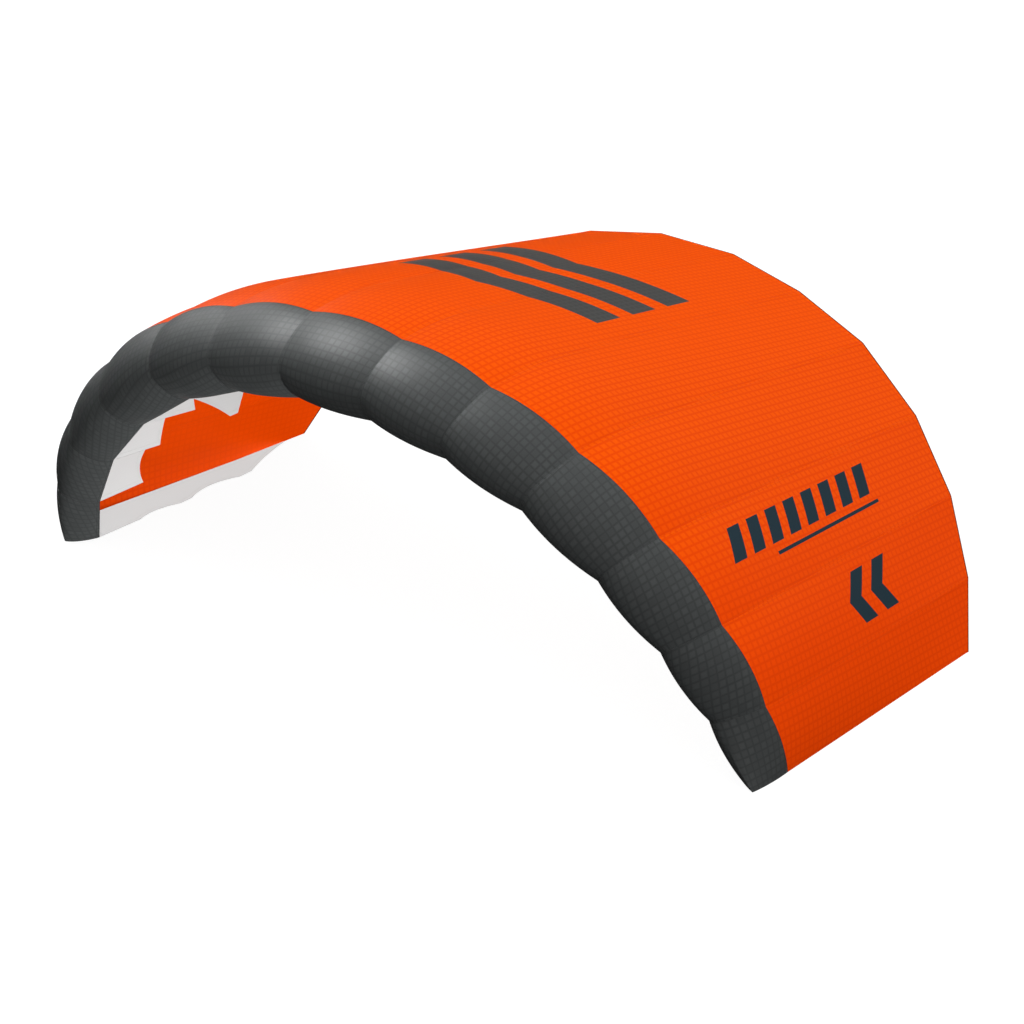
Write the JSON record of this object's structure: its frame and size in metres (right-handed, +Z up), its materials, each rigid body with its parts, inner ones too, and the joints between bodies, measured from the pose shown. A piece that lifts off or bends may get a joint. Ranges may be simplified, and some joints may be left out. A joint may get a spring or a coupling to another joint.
{
  "type": "parawing",
  "caption": "Soft single-skin parawing in its inflated arch: dark rounded nose cells, an orange skin of gently filled cells and pale ribs under the seams, standing on its tips.",
  "frame": {"origin": "centre of the footprint on the ground, under the middle of the wing", "axes": "+X along the span, +Y from the nose to the trailing edge, +Z up out of the top of the arch"},
  "size_m": [1.8954, 1.4638, 0.8266],
  "materials": {
    "canopy": "coated ripstop",
    "nose": "coated ripstop",
    "rib": "plain"
  },
  "bodies": {
    "root": {"canopy_01": "canopy", "canopy_02": "canopy", "canopy_03": "canopy", "canopy_04": "canopy", "canopy_05": "canopy", "canopy_06": "canopy", "canopy_07": "canopy", "canopy_08": "canopy", "canopy_09": "canopy", "canopy_10": "canopy", "canopy_11": "canopy", "canopy_12": "canopy", "canopy_13": "canopy", "nose_01": "nose", "nose_02": "nose", "nose_03": "nose", "nose_04": "nose", "nose_05": "nose", "nose_06": "nose", "nose_07": "nose", "nose_08": "nose", "nose_09": "nose", "nose_10": "nose", "nose_11": "nose", "nose_12": "nose", "nose_13": "nose", "rib_01": "rib", "rib_02": "rib", "rib_03": "rib", "rib_04": "rib", "rib_05": "rib", "rib_06": "rib", "rib_07": "rib", "rib_08": "rib", "rib_09": "rib", "rib_10": "rib", "rib_11": "rib", "rib_12": "rib", "rib_13": "rib", "rib_14": "rib"}
  },
  "joints": []
}
